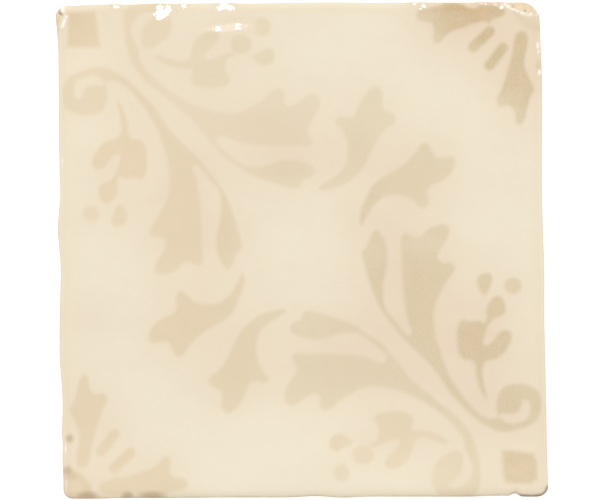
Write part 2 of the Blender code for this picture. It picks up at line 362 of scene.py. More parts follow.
# Where the glaze stands full and lies as a flat towards the window: ovals, as x, y, half
# length, half width, turn, how far its hinge is below its middle, the width over which it
# blends into the face, and how dull it is
FULL_PLACES = (
    (-48.8, 65.4, 1.3, 1.2, 0.0, 1.2, 0.9, 1.0),
    (-36.3, 63.9, 2.9, 2.5, 0.0, 2.5, 0.9, 1.0),
    (-30.7, 65.6, 1.1, 0.9, 0.0, 0.9, 0.9, 1.0),
    (-19.6, 65.2, 2.7, 1.4, 0.0, 1.4, 0.9, 1.0),
    (-19.0, 59.4, 3.7, 1.0, 6.5, 0.0, 2.0, 0.88),
    (30.4, 65.2, 0.8, 0.9, 0.0, 0.9, 0.9, 1.0),
    (32.8, 64.8, 1.1, 1.2, 0.0, 1.2, 0.9, 1.0),
    (48.9, 65.0, 1.5, 0.9, 0.0, 0.9, 0.9, 1.0),
    (53.1, 64.2, 1.7, 1.1, 0.0, 1.1, 0.9, 1.0),
)
# How far they lean, and between which distances from them the dullness comes in
FULL_LEAN_DEG = 9.3
FULL_DULLNESS = (2.0, 0.9)
# The wet shine on them and elsewhere on the arris, as outlines
WET_PLACES = (
    ((-49.7, 66.1), (-47.9, 66.1), (-48.2, 65.2), (-48.7, 64.6), (-49.3, 65.2)),
    (
        (-38.9, 63.3), (-38.0, 64.4), (-38.2, 65.2), (-37.8, 66.0), (-36.5, 65.9), (-36.2, 64.9),
        (-35.8, 64.3), (-35.4, 65.1), (-35.1, 66.0), (-34.3, 65.7), (-34.1, 64.6), (-33.4, 63.9),
        (-34.7, 63.4), (-35.5, 62.9), (-36.2, 62.3), (-36.8, 61.7), (-37.6, 61.7), (-38.2, 62.3),
        (-37.7, 62.9), (-38.5, 63.0),
    ),
    ((-31.7, 66.1), (-29.9, 66.1), (-30.4, 65.2), (-31.2, 64.8)),
    (
        (-20.9, 66.2), (-19.6, 66.2), (-18.6, 65.4), (-17.4, 65.0), (-17.5, 64.3), (-21.8, 64.3),
        (-21.3, 65.2),
    ),
    ((-22.5, 59.1), (-21.7, 60.1), (-20.9, 59.6), (-21.0, 58.6), (-21.8, 58.2)),
    ((-16.9, 60.6), (-16.0, 60.8), (-15.6, 59.7), (-16.0, 58.7), (-16.8, 58.7), (-17.1, 59.6)),
    ((-62.2, 63.1), (-61.7, 62.9), (-62.2, 61.4), (-62.9, 59.7), (-63.5, 59.8), (-62.8, 61.5)),
    ((-63.3, 66.2), (-62.4, 66.2), (-62.4, 64.2), (-62.9, 64.0)),
    ((56.0, 64.3), (57.0, 64.0), (56.7, 63.3), (55.9, 63.5)),
    ((57.7, 63.4), (58.7, 63.1), (58.5, 62.4), (57.7, 62.5)),
    ((30.0, 65.7), (30.8, 65.7), (30.7, 64.7), (30.3, 64.6)),
    ((32.9, 65.5), (33.4, 65.5), (33.4, 63.9), (32.1, 64.1), (32.3, 64.6)),
    ((47.8, 65.5), (48.5, 65.5), (48.4, 64.8), (47.9, 64.9)),
    ((49.0, 65.4), (50.0, 65.4), (49.8, 64.5), (49.3, 64.5)),
    ((53.0, 64.1), (53.3, 64.7), (53.8, 65.0), (54.4, 64.9), (54.3, 64.2), (53.8, 63.7), (53.2, 63.6)),
    ((62.6, 54.7), (63.8, 54.7), (63.9, 52.9), (62.7, 52.9)),
    ((62.9, 52.6), (64.0, 52.6), (63.9, 51.6), (62.9, 51.6)),
    ((63.0, 47.4), (64.2, 47.4), (64.2, 46.2), (63.0, 46.2)),
    ((-64.5, 25.1), (-63.3, 25.1), (-63.3, 23.3), (-64.5, 23.3)),
    ((-63.9, -51.0), (-62.7, -51.0), (-62.6, -53.4), (-63.8, -53.4)),
    ((-63.4, -60.6), (-62.0, -60.6), (-61.8, -63.0), (-63.2, -63.0)),
)
WET_FADE = 1.5
WET_RAGGEDNESS = 1.7
# The glaze's own edge at the worn corner shines too
WET_LIP = (
    (54.6, 65.1), (55.1, 64.7), (56.4, 63.8), (58.2, 62.9), (59.7, 62.3), (61.3, 62.1),
    (62.9, 62.2),
)
WET_LIP_HALF_WIDTH = 0.25
# Painted highlights: glints on the glaze's lip, ridges and flecks painted pale, as their run, reach
# and strength
PAINTED_GLINTS = (
    (WET_LIP, 0.45, 1.0),
    (((-62.0, 62.8), (-62.5, 61.5), (-63.1, 60.1)), 0.34, 1.7),
    (((-62.9, 66.0), (-62.9, 64.4)), 0.38, 1.5),
    (((63.8, 54.6), (63.8, 54.4)), 0.30, 0.4),
    (((63.3, 53.9), (63.3, 53.5)), 0.30, 0.9),
    (((63.5, 52.4), (63.5, 52.2)), 0.30, 0.7),
    (((63.7, 46.9), (63.7, 46.5)), 0.32, 1.3),
    (((52.0, 65.0), (52.3, 64.7)), 0.30, 0.9),
)
# Small pits, as x, y, half length, half width, turn, depth and how dark they are
PITS = (
    (-63.5, 63.65, 1.05, 0.40, -52.0, 0.35, 1.0),
    (57.1, 64.4, 0.75, 0.60, 0.0, 0.12, 0.60),
    (60.0, 63.1, 0.70, 0.50, 10.0, 0.12, 0.50),
    (-64.2, 62.0, 0.34, 0.75, 0.0, 0.10, 0.35),
)

# How much the glaze thins and darkens on the arris: everywhere, and most at its outer edge on
# the right and left, the top and bottom. The darkening by edge is partly thin glaze and partly
# painted shade: most at the bottom edge, which turns away from the light, and least at the top.
THIN_ON_ARRIS = 0.14
THIN_AND_SHADE_BY_EDGE = ((1.15, 1.15), (0.80, 1.90))
# Between which points of the way over the arris it thins and takes its painted shade, and how
# much sooner where it darkens more. The way is measured from where the face starts to round.
THIN_AND_SHADE_RUN = (2.1, 3.4)
THIN_AND_SHADE_SOONER = 0.55
# Between which points of that way it goes dry
DRY_RUN = (-1.6, 0.1)
# The dryness and the print fade out past the rounding. Each comes in between these amounts of
# the rounding still to go, which are below zero on the side.
DRY_FADE = (-1.0, 0.0)
PRINT_FADE = (-1.5, 0.5)
# How thin the glaze is at its lip, and how far from it that reaches
THIN_AT_LIP = 0.55
LIP_THIN_REACH = 0.7
# Within what height of the side's top a place comes to be on top of the tile
TOP_BLEND = 0.4
# Between which shares of the thickness the scorch and the painted edge shade come in
BURNT_AND_SHADE_HEIGHTS = (0.66, 0.80)

# Colours of the finished surfaces, linear
CREAM = (0.770, 0.683, 0.520)
CREAM_DARK = (0.736, 0.621, 0.464)
CREAM_LIGHT = (0.800, 0.724, 0.556)
HALO = (0.870, 0.670, 0.590)
STAIN_WARM = (0.885, 0.748, 0.600)
STAIN_OLIVE = (0.790, 0.732, 0.597)
# Thin glaze on the arris, greyed so that it also serves as the painted shade of the arris
THIN_GLAZE_AND_SHADE = (0.830, 0.805, 0.780)
# The painted highlight of the glints on the glaze
GLINT_HIGHLIGHT = (0.960, 0.935, 0.850)
# The brown of scorch, also used for the painted shade of the dark lines along the edges
BURNT_AND_SHADE = (0.240, 0.150, 0.095)
CLAY = (0.760, 0.615, 0.415)
CLAY_PINK = (0.735, 0.565, 0.400)
CLAY_SPECK = (0.330, 0.200, 0.120)
GLAZE_IOR = 1.52
CLAY_IOR = 1.45

# The camera looks straight down; the tile lies a touch off square in the picture
PICTURE_WIDTH_PX = 600
MM_PER_PX = 0.2657
PICTURE_TURN_DEG = 0.6
PICTURE_MIDDLE = (-0.49, 0.156)
LENS_MM = 200.0
SENSOR_MM = 36.0

# Light, as radiance: 1 is the white of the floor in the picture
ROOM_LIGHT = 0.88
PANEL_DISTANCE = 2500.0
# Each panel, as its azimuth (0 is above the top edge, 90 on the right), elevation, width,
# height and radiance
PANELS = {
    "window": (0.0, 66.0, 440.0, 350.0, 13.1),
    "skylight": (0.0, 38.0, 1650.0, 1100.0, 1.6),
    "right_panel": (83.0, 22.0, 600.0, 660.0, 4.6),
    "left_panel": (-94.0, 22.0, 600.0, 660.0, 4.6),
}

FLOOR_SIZE = 3000.0
FLOOR_LIFT = 0.02
FLOOR_WHITE = 0.42
FLOOR_GLOW = 0.80


def smooth_step(value, low, high):
    share = np.clip((value - low) / (high - low), 0.0, 1.0)
    return share * share * (3.0 - 2.0 * share)


def smooth_loop(points, steps):
    """A closed curve through every point, as steps short straight runs from each to the next."""
    knots = np.array(points, float)
    before, after = np.roll(knots, 1, 0), np.roll(knots, -1, 0)
    later = np.roll(knots, -2, 0)

    def gap(a, b):
        return np.sqrt(np.linalg.norm(b - a, axis=1))[:, None]

    first, middle, last = gap(before, knots), gap(knots, after), gap(after, later)
    leave = (knots - before) / first - (after - before) / (first + middle) + (after - knots) / middle
    arrive = (after - knots) / middle - (later - knots) / (middle + last) + (later - after) / last
    runs = []
    for share in np.arange(steps) / steps:
        square, cube = share**2, share**3
        runs.append(
            (2 * cube - 3 * square + 1) * knots
            + (cube - 2 * square + share) * leave * middle
            + (3 * square - 2 * cube) * after
            + (cube - square) * arrive * middle
        )
    return np.stack(runs, axis=1).reshape(-1, 2)


def distance_to_run(places, start, end):
    run = end - start
    share = np.clip(((places - start) @ run) / (run @ run), 0.0, 1.0)
    return np.linalg.norm(places - start - share[:, None] * run, axis=1)


def distance_to_line(places, line):
    corners = np.array(line)
    runs = [distance_to_run(places, start, end) for start, end in zip(corners[:-1], corners[1:])]
    return np.min(runs, axis=0)


def distance_to_loop(places, loop):
    """How far each place lies from a closed outline, below zero inside it."""
    nearest = np.full(len(places), np.inf)
    inside = np.zeros(len(places), bool)
    for start, end in zip(loop, np.roll(loop, -1, 0)):
        nearest = np.minimum(nearest, distance_to_run(places, start, end))
        spans = (start[1] > places[:, 1]) != (end[1] > places[:, 1])
        rise = end[1] - start[1] if end[1] != start[1] else 1.0
        crossing = start[0] + (places[:, 1] - start[1]) / rise * (end[0] - start[0])
        inside ^= spans & (places[:, 0] < crossing)
    return np.where(inside, -nearest, nearest)


def distance_to_oval(places, middle, half_sizes, turn_deg=0.0):
    """Roughly how far each place lies from an oval, below zero inside it."""
    turn = math.radians(turn_deg)
    across = places - np.array(middle)
    along = across[:, 0] * math.cos(turn) + across[:, 1] * math.sin(turn)
    aside = across[:, 1] * math.cos(turn) - across[:, 0] * math.sin(turn)
    reach = np.hypot(along / half_sizes[0], aside / half_sizes[1])
    return (reach - 1.0) * min(half_sizes)


def printed(distance, strength, bleed=STAIN_BLEED):
    """How strong a printed form is at each distance from its outline: it fades over the bleed."""
    return strength * smooth_step(-distance, -bleed, bleed)


def near_box(places, points, margin):
    low, high = points.min(0) - margin, points.max(0) + margin
    return np.flatnonzero(((places > low) & (places < high)).all(1))


def turned(points):
    return np.array(TURN_SUM) - np.array(points, float)


def ornament(places):
    """How strongly the ornament stains the glaze at each place on the face."""
    stain = np.zeros(len(places))

    def add(near, strength):
        stain[near] = np.maximum(stain[near], strength)

    for points, strength, turned_strength in LEAVES:
        loop = smooth_loop(points, 5)
        for outline, share in ((loop, strength), (turned(loop), turned_strength)):
            near = near_box(places, outline, STAIN_BLEED)
            add(near, printed(distance_to_loop(places[near], outline), share))
    for points, share in SQUARES:
        away = distance_to_loop(places, np.array(points))
        add(slice(None), printed(away, share, SQUARE_BLEED))
    for x, y, half_width, half_height, *strengths in BERRIES:
        for middle, share in zip(((x, y), turned((x, y))), strengths):
            away = distance_to_oval(places, middle, (half_width, half_height))
            add(slice(None), printed(away, share))
    for start, end, half_width, *strengths in PETALS:
        for turn, share in zip((np.array, turned), strengths):
            away = distance_to_run(places, turn(start), turn(end)) - half_width
            add(slice(None), printed(away, share))
    discs = zip((DISC_MIDDLE, turned(DISC_MIDDLE)), DISC_STRENGTHS, DISC_RIM_STRENGTHS)
    for middle, share, rim_share in discs:
        away = np.linalg.norm(places - np.array(middle), axis=1) - DISC_RADIUS
        rim = rim_share * np.exp(-((away + DISC_RIM) / DISC_RIM) ** 2)
        add(slice(None), printed(away, share) + rim)
    for x, y, half_width, half_height, share, _ in EDGE_STAINS:
        add(slice(None), printed(distance_to_oval(places, (x, y), (half_width, half_height)), share))
    return stain * (1.0 + soft_patches(places, PRINT_SHADES))


def soft_patches(places, patches):
    """The sum of soft round patches at each place."""
    total = np.zeros(len(places))
    for x, y, reach_x, reach_y, amount in patches:
        away = ((places[:, 0] - x) / reach_x) ** 2 + ((places[:, 1] - y) / reach_y) ** 2
        total += amount * np.exp(-away)
    return total


def olive_share(places):
    """How olive the print is at each place, from 0 where it is warm."""
    rise = smooth_step(places[:, 0], OLIVE_FROM, OLIVE_TO)
    return OLIVE_LEAST + (OLIVE_MOST - OLIVE_LEAST) * rise + soft_patches(places, PRINT_HUES)


def halo_share(places):
    """The print blurred over the halo's reach, at each place."""
    across = np.arange(-HALO_MAP_HALF, HALO_MAP_HALF + HALO_CELL / 2, HALO_CELL)
    cell_x, cell_y = np.meshgrid(across, across)
    print_map = ornament(np.stack([cell_x.ravel(), cell_y.ravel()], axis=1)).reshape(cell_x.shape)
    shares = []
    for axis in (0, 1):
        away = (places[:, axis, None] - across) / HALO_REACH
        share = np.exp(-0.5 * away**2)
        shares.append(share / share.sum(1, keepdims=True))
    return ((shares[1] @ print_map) * shares[0]).sum(1)


def wet_share(places):
    """Above a half inside the wet places and below it outside, falling evenly over their edges."""
    away = np.full(len(places), WET_FADE)
    for loop in WET_PLACES:
        outline = np.array(loop)
        near = near_box(places, outline, WET_FADE)
        away[near] = np.minimum(away[near], distance_to_loop(places[near], outline))
    away = np.minimum(away, distance_to_line(places, WET_LIP) - WET_LIP_HALF_WIDTH)
    return np.clip(0.5 - away / WET_FADE, 0.0, 1.0)


def burnt_and_shade_at_edges(places):
    """How dark the dirt and scorch of the edge stains, and the painted shade of the dark edge lines,
    are at each place.
    """
    burnt_and_shade = np.zeros(len(places))
    for x, y, half_width, half_height, _, share in EDGE_STAINS:
        away = distance_to_oval(places, (x, y), (half_width, half_height))
        burnt_and_shade = np.maximum(burnt_and_shade, printed(away, share))
    for line, half_width, share in EDGE_LINES:
        away = distance_to_line(places, line) - half_width
        burnt_and_shade = np.maximum(burnt_and_shade, share * smooth_step(-away, -half_width, half_width))
    return burnt_and_shade


def outline_from_frame(node):
    """The tile's outline, a smooth closed loop through the upright sides of its solid."""
    corners = np.array([vertex.co for vertex in node.data.vertices]) / MM
    on_side = np.abs(corners[:, 2] - BACK_ARRIS) < SAME_HEIGHT
    ring = np.unique(np.round(corners[on_side, :2], 3), axis=0)
    order = np.argsort(np.arctan2(ring[:, 1], ring[:, 0]))
    return smooth_loop(ring[order], OUTLINE_STEPS)


def shared_out(outline, counts):
    """Places round the outline, counterclockwise from its lower left corner, so many to a side."""
    corner_signs = np.array(((-1, -1), (1, -1), (1, 1), (-1, 1)))
    corners = [int(np.argmax(outline @ signs)) for signs in corner_signs]
    outline = np.roll(outline, -corners[0], 0)
    corners = [(corner - corners[0]) % len(outline) for corner in corners] + [len(outline)]
    closed = np.vstack([outline, outline[:1]])
    lengths = np.linalg.norm(np.diff(closed, axis=0), axis=1)
    travelled = np.concatenate([[0.0], np.cumsum(lengths)])
    stops = np.concatenate(
        [
            np.linspace(travelled[start], travelled[end], count, endpoint=False)
            for start, end, count in zip(corners[:-1], corners[1:], counts)
        ]
    )
    return np.stack([np.interp(stops, travelled, closed[:, axis]) for axis in (0, 1)], axis=1)


def nicked(outline):
    """The outline with the nick pressed into its lower edge, with soft shoulders."""
    away = np.abs(outline[:, 0] - NICK_X) / NICK_HALF_WIDTH
    bite = NICK_DEPTH * np.clip(1.0 - away**2, 0.0, None) ** 1.5
    pressed = outline.copy()
    pressed[:, 1] += np.where(outline[:, 1] < 0, bite, 0.0)
    return pressed


class Edge:
    """The columns that run from the grid on the face, over the arris and down to the back."""

    def __init__(self, inner, outline, thickness):
        self.inner = inner
        ahead = np.roll(outline, -1, 0) - np.roll(outline, 1, 0)
        normal = np.stack([ahead[:, 1], -ahead[:, 0]], axis=1)
        normal = np.roll(normal, 1, 0) + 2 * normal + np.roll(normal, -1, 0)
        self.normal = normal / np.linalg.norm(normal, axis=1)[:, None]
        self.outline = nicked(outline)
        self.turn_in = self.outline - FACE_ROUNDING * self.normal
        self.face_run = np.linalg.norm(self.turn_in - inner, axis=1)
        self.thickness = thickness
        self.round_run = FACE_ROUNDING * math.pi / 2
        self.side_run = thickness - FACE_ROUNDING - BACK_ARRIS
        self.back_run = BACK_ARRIS * math.pi / 2
        self.end = self.round_run + self.side_run + self.back_run

    def points(self, travel, depth):
        """Points on or under the skin, at a travel measured from where the face starts to round.

        Travel is below zero on the face and has a row for each column. Depth is how far
        under the skin the points lie.
        """
        on_face = np.clip(-travel / self.face_run[:, None], 0.0, 1.0)[..., None]
        over = np.clip(travel / FACE_ROUNDING, 0.0, math.pi / 2)
        down = np.clip(travel - self.round_run, 0.0, self.side_run)
        under = np.clip((travel - self.round_run - self.side_run) / BACK_ARRIS, 0.0, math.pi / 2)
        out = FACE_ROUNDING * np.sin(over) - BACK_ARRIS * (1 - np.cos(under))
        out = out - depth * np.sin(over) * np.cos(under)
        flat = self.turn_in[:, None] + (self.inner - self.turn_in)[:, None] * on_face
        flat = flat + out[..., None] * self.normal[:, None]
        height = self.thickness - FACE_ROUNDING * (1 - np.cos(over)) - down
        height = height - BACK_ARRIS * np.sin(under) - depth * (np.cos(over) - np.sin(under))
        return np.concatenate([flat, height[..., None]], axis=2)

    def lip(self):
        """How far the glaze travels down each column before it stops."""
        turns = np.linspace(0.0, 2 * math.pi, len(self.outline), endpoint=False)
        chance = np.random.default_rng(LIP_SEED)
        lip = np.full(len(turns), LIP_ON_SIDE)
        for waves, amount in LIP_WANDER:
            lip += amount * np.sin(waves * turns + chance.uniform(0, 2 * math.pi))
        lip = np.minimum(lip, self.end - self.back_run - LIP_ABOVE_BACK)
        search = np.linspace(-BARE_SEARCH, self.round_run, BARE_SEARCH_PLACES)
        places = self.points(np.tile(search, (len(turns), 1)), 0.0)[..., :2].reshape(-1, 2)
        for loop in (WORN_CORNER, CHIPPED_CORNER):
            bare = distance_to_loop(places, smooth_loop(loop, 4)).reshape(len(turns), -1) < 0
            lip = np.where(bare.any(1), np.minimum(lip, search[bare.argmax(1)]), lip)
        return self.eased(lip)

    def eased(self, lip):
        """The same line with no step: it climbs to a bare place at a set slope, then is smoothed."""
        step = np.linalg.norm(self.outline - np.roll(self.outline, 1, 0), axis=1)
        for _ in range(2):
            for index in range(len(lip)):
                lip[index] = min(lip[index], lip[index - 1] + LIP_FALL * step[index])
            for index in range(len(lip) - 1, -1, -1):
                after = (index + 1) % len(lip)
                lip[index] = min(lip[index], lip[after] + LIP_FALL * step[after])
        width = LIP_BLUR / step.mean()
        shifts = np.arange(-int(3 * width), int(3 * width) + 1)
        shares = np.exp(-0.5 * (shifts / (width / 2)) ** 2)
        return sum(share * np.roll(lip, shift) for share, shift in zip(shares, shifts)) / shares.sum()


def respaced(runs, count):
    """Each run of points, given again as count points at equal steps along it, ends kept."""
    steps = np.linalg.norm(np.diff(runs, axis=1), axis=2)
    travelled = np.concatenate([np.zeros((len(runs), 1)), np.cumsum(steps, axis=1)], axis=1)
    even = np.empty((len(runs), count, 3))
    for index, (run, travel) in enumerate(zip(runs, travelled)):
        stops = np.linspace(0.0, travel[-1], count)
        for axis in range(3):
            even[index, :, axis] = np.interp(stops, travel, run[:, axis])
    return even


def worn_ceiling(points, top):
    """How high the clay may stand: no higher than the dry flat that leans outwards."""
    heading = math.radians(WORN_HEADING_DEG)
    away = (points[..., 0] - WORN_POINT[0]) * math.cos(heading)
    away = away + (points[..., 1] - WORN_POINT[1]) * math.sin(heading)
    return np.where(away > 0, top - away * math.tan(math.radians(WORN_TILT_DEG)), np.inf)


def heave(places):
    """Gentle waves over the face, in height."""
    height = np.zeros(places.shape[:-1])
    for length, heading_deg, amount, start in HEAVES:
        heading = math.radians(heading_deg)
        along = places[..., 0] * math.cos(heading) + places[..., 1] * math.sin(heading)
        height += amount * np.sin(2 * math.pi * along / length + start)
    return height


def full_to_plane(points, place):
    """How far each point is taken to a flat that leans towards the window, and the flat's height."""
    x, y, half_length, half_width, turn_deg, hinge_below, blend, _ = place
    flat = points[:, :2]
    away = distance_to_oval(flat, (x, y), (half_length, half_width), turn_deg)
    share = smooth_step(-away, -blend, 0.0)
    hinge = y - hinge_below
    away = np.linalg.norm(flat - (x, hinge), axis=1)
    on_face = points[:, 2] > points[:, 2].max() - FACE_ROUNDING
    start = np.argmin(np.where(on_face, away, np.inf))
    fall = math.tan(math.radians(FULL_LEAN_DEG))
    return share, points[start, 2] - fall * (flat[:, 1] - hinge)


def pit_share(flat, x, y, half_length, half_width, turn_deg):
    """How deep each place lies in one rounded pit, as a share of its depth."""
    reach = distance_to_oval(flat, (x, y), (half_length, half_width), turn_deg)
    reach = reach / min(half_length, half_width) + 1.0
    return np.clip(1.0 - reach**2, 0.0, None) ** 2


def face_grid(thickness):
    """The grid over the middle of the face: its points, and their numbers in rows from below."""
    cells = [round(2 * half / GRID_CELL) for half in GRID_HALF]
    xs = np.linspace(-GRID_HALF[0], GRID_HALF[0], cells[0] + 1)
    ys = np.linspace(-GRID_HALF[1], GRID_HALF[1], cells[1] + 1)
    grid_x, grid_y = np.meshgrid(xs, ys)
    grid = np.stack([grid_x.ravel(), grid_y.ravel(), np.full(grid_x.size, thickness)], axis=1)
    return grid, np.arange(len(grid)).reshape(grid_x.shape)


def rim_of(number):
    """The numbers round a grid's outside, counterclockwise from its lower left corner."""
    return np.concatenate([number[0, :-1], number[:-1, -1], number[-1, :0:-1], number[:0:-1, 0]])


def glaze_rings(edge, lip):
    """The glaze's rings over the arris, down the side and round the bead: travels and points."""
    turn_end = np.minimum(edge.round_run, lip - BEAD_START - LAST_SIDE_STEP)
    over = np.linspace(-edge.face_run, turn_end, FACE_RINGS + 1, axis=1)[:, 1:]
    down = np.linspace(turn_end, lip - BEAD_START, SIDE_RINGS + 1, axis=1)[:, 1:]
    bead_travel, bead_depth = np.array(BEAD_RINGS).T
    travel = np.concatenate([over, down, lip[:, None] + bead_travel], axis=1)
    depth = np.concatenate([np.zeros(FACE_RINGS + SIDE_RINGS), bead_depth])
    return travel, edge.points(travel, np.tile(depth, (len(lip), 1)))


def clay_rings(edge, lip):
    """The clay's rings, from just past the lip down to the back and a little way in on it."""
    samples = np.linspace(lip + CLAY_START, edge.end, CLAY_SAMPLES, axis=1)
    under = GLAZE_THICKNESS * smooth_step(edge.end - samples, 0.0, CLAY_TAPER)
    runs = edge.points(samples, under)
    runs[..., 2] = np.minimum(runs[..., 2], worn_ceiling(runs, edge.thickness - GLAZE_THICKNESS))
    clay = respaced(runs, CLAY_RINGS)
    back_rim = clay[:, -1:].copy()
    back_rim[:, 0, :2] -= BACK_RIM * edge.normal
    return np.concatenate([clay, back_rim], axis=1)


class Skin:
    """The whole tile as one closed skin: a grid over the face, then rings over the edge."""

    def __init__(self, node):
        self.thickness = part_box(TILE)[1].z / MM
        grid, self.number = face_grid(self.thickness)
        self.rim = rim_of(self.number)
        counts = [count - 1 for count in self.number.shape[::-1]] * 2
        outline = shared_out(outline_from_frame(node), counts)
        self.edge = Edge(grid[self.rim, :2], outline, self.thickness)
        lip = self.edge.lip()
        travel, glaze = glaze_rings(self.edge, lip)
        rings = np.concatenate([glaze, clay_rings(self.edge, lip)], axis=1)
        self.points = np.vstack([grid, rings.transpose(1, 0, 2).reshape(-1, 3)])
        self.flat = self.points[:, :2]
        self.grid_size, self.ring_shape = len(grid), rings.shape[:2]
        self.bare_ring = travel.shape[1] - 1
        self.glazed = self.spread(True, np.arange(self.bare_ring + 1) < self.bare_ring, False)
        self.along = self.spread(-EDGE_BAND, travel, FAR)
        self.round_left = self.edge.round_run - self.along
        self.past_lip = self.spread(-FAR, travel - lip[:, None], FAR)
        self.raise_face(rings)
        side_top = self.thickness - FACE_ROUNDING
        self.on_top = smooth_step(self.points[:, 2], side_top, side_top + TOP_BLEND)
        self.lean_full_places()
        heights = self.points[:, 2] / self.thickness
        # Scorch and dirt of the edge stains, painted shade of the dark lines along the edges, and the
        # dark of the pits
        scorch_and_shade = burnt_and_shade_at_edges(self.flat) * smooth_step(heights, *BURNT_AND_SHADE_HEIGHTS)
        self.burnt_and_shade = np.maximum(scorch_and_shade, self.sink_pits())

    def spread(self, grid_value, glaze_values, clay_value):
        """One value for each point: on the grid, on the glaze's rings and on the clay's."""
        values = np.full(self.ring_shape, clay_value)
        values[:, : self.bare_ring + 1] = glaze_values
        return np.concatenate([np.full(self.grid_size, grid_value), values.T.ravel()])

    def raise_face(self, rings):
        """Adds the heave and the fall towards the edge, which fade out down the side."""
        edge = self.edge
        inwards = np.einsum("jrk,jk->jr", edge.outline[:, None] - rings[..., :2], edge.normal)
        edge_distance = np.concatenate([np.full(self.grid_size, EDGE_BAND), inwards.T.ravel()])
        crown = np.clip(1.0 - edge_distance / EDGE_BAND, 0.0, 1.0) ** 2
        upper = smooth_step(self.points[:, 2], HEAVE_MARGIN, self.thickness - HEAVE_MARGIN)
        self.points[:, 2] += upper * (heave(self.flat) - EDGE_DROP * crown)

    def lean_full_places(self):
        """Turns each place where the glaze stands full into a flat that leans to the window."""
        for place in FULL_PLACES:
            share, plane = full_to_plane(self.points, place)
            self.points[:, 2] += share * self.on_top * self.glazed * (plane - self.points[:, 2])

    def sink_pits(self):
        """Presses the pits in, and returns how dark they are at each point."""
        dark = np.zeros(len(self.points))
        for *oval, depth, darkness in PITS:
            hollow = pit_share(self.flat, *oval) * self.on_top
            self.points[:, 2] -= depth * hollow
            dark = np.maximum(dark, darkness * hollow)
        return dark

    def arris_wear_and_shade(self):
        """How dry the glaze is at each point, and how thin and shaded: thin glaze on the arris and at
        the lip, and painted shade on the arris, most at the bottom edge.
        """
        normal = self.edge.normal
        towards_edges = np.clip(np.stack([normal, -normal], axis=2), 0.0, 1.0) ** 2
        darkest = np.einsum("jas,as->j", towards_edges, THIN_AND_SHADE_BY_EDGE)[:, None]
        darkest = self.spread(0.0, darkest, 0.0)
        over_edge = smooth_step(self.round_left, *DRY_FADE)
        dry = smooth_step(self.along, *DRY_RUN) * over_edge
        thin_and_shade = darkest * smooth_step(self.along + THIN_AND_SHADE_SOONER * darkest, *THIN_AND_SHADE_RUN) * over_edge
        at_lip = smooth_step(self.past_lip, -LIP_THIN_REACH, 0.0) * (self.past_lip < FAR)
        return dry, np.maximum(thin_and_shade + THIN_ON_ARRIS * dry, THIN_AT_LIP * at_lip)

    def paint(self):
        """The tile's layers of paint, each with a value for each point."""
        flat = self.flat
        dry, thin_and_shade = self.arris_wear_and_shade()
        for x, y, half_length, half_width, turn_deg, _, _, dullness in FULL_PLACES:
            away = distance_to_oval(flat, (x, y), (half_length, half_width), turn_deg)
            dry = np.maximum(dry, dullness * smooth_step(away, *FULL_DULLNESS))
        # Painted highlights: glints painted pale on the glaze's lip, ridges and flecks
        pale = np.zeros(len(flat))
        for line, reach, strength in PAINTED_GLINTS:
            pale = np.maximum(pale, strength * np.exp(-((distance_to_line(flat, line) / reach) ** 2)))
        stain = ornament(flat) * smooth_step(self.round_left, *PRINT_FADE)
        return {
            "stain": stain * self.glazed,
            "olive": olive_share(flat),
            "halo": halo_share(flat) * (1.0 - HALO_UNDER_PRINT * np.clip(2.0 * stain, 0.0, 1.0)),
            "tone": soft_patches(flat, TONE_PATCHES),
            "thin_and_shade": thin_and_shade * self.glazed * (1.0 - np.minimum(pale, 1.0)),
            "pale": pale * self.on_top * self.glazed,
            "dry": dry,
            "wet": wet_share(flat) * self.on_top * self.glazed,
            "burnt_and_shade": self.burnt_and_shade,
        }

    def faces(self):
        """The corners of each face, and which faces are clay. The last face closes the back."""
        number, inner = self.number, self.rim
        column, ring_count = self.ring_shape
        corners = [number[:-1, :-1], number[:-1, 1:], number[1:, 1:], number[1:, :-1]]
        quads = [np.stack(corners, axis=-1).reshape(-1, 4)]
        is_clay = [np.zeros(len(quads[0]), bool)]
        for ring in range(ring_count):
            outer = self.grid_size + ring * column + np.arange(column)
            quads.append(np.stack([inner, outer, np.roll(outer, -1), np.roll(inner, -1)], axis=-1))
            is_clay.append(np.full(column, ring >= self.bare_ring))
            inner = outer
        faces = np.concatenate(quads).tolist()
        faces.append(inner[::-1].tolist())
        return faces, np.append(np.concatenate(is_clay), True)


def make_tile(node, glaze, clay):
    """The finished tile: its skin, with the glaze and the clay on it and its layers of paint."""
    skin = Skin(node)
    faces, is_clay = skin.faces()
    mesh = bpy.data.meshes.new("glazed_tile")
    mesh.from_pydata((skin.points * MM).tolist(), [], faces)
    mesh.materials.append(glaze)
    mesh.materials.append(clay)
    mesh.polygons.foreach_set("material_index", is_clay.astype(np.int32))
    mesh.shade_smooth()
    for name, values in skin.paint().items():
        layer = mesh.attributes.new(name, "FLOAT", "POINT")
        layer.data.foreach_set("value", values.astype(np.float32))
    mesh.update()
    return put_in_scene("glazed_tile", mesh)


def put_in_scene(name, data):
    placed = bpy.data.objects.new(name, data)
    bpy.context.scene.collection.objects.link(placed)
    return placed


def feed(tree, node, inputs):
    """Sets each input named to a value, or links it to a socket."""
    for name, value in inputs.items():
        if isinstance(value, bpy.types.NodeSocket):
            tree.links.new(value, node.inputs[name])
        else:
            node.inputs[name].default_value = value


def place_node(tree, kind, inputs=None, **settings):
    """A new node with its settings and inputs."""
    node = tree.nodes.new(kind)
    for name, value in settings.items():
        setattr(node, name, value)
    feed(tree, node, inputs or {})
    return node


def sum_node(tree, operation, first, second=0.0, third=0.0, clamp=False):
    inputs = {0: first, 1: second, 2: third}
    node = place_node(tree, "ShaderNodeMath", inputs, operation=operation, use_clamp=clamp)
    return node.outputs[0]


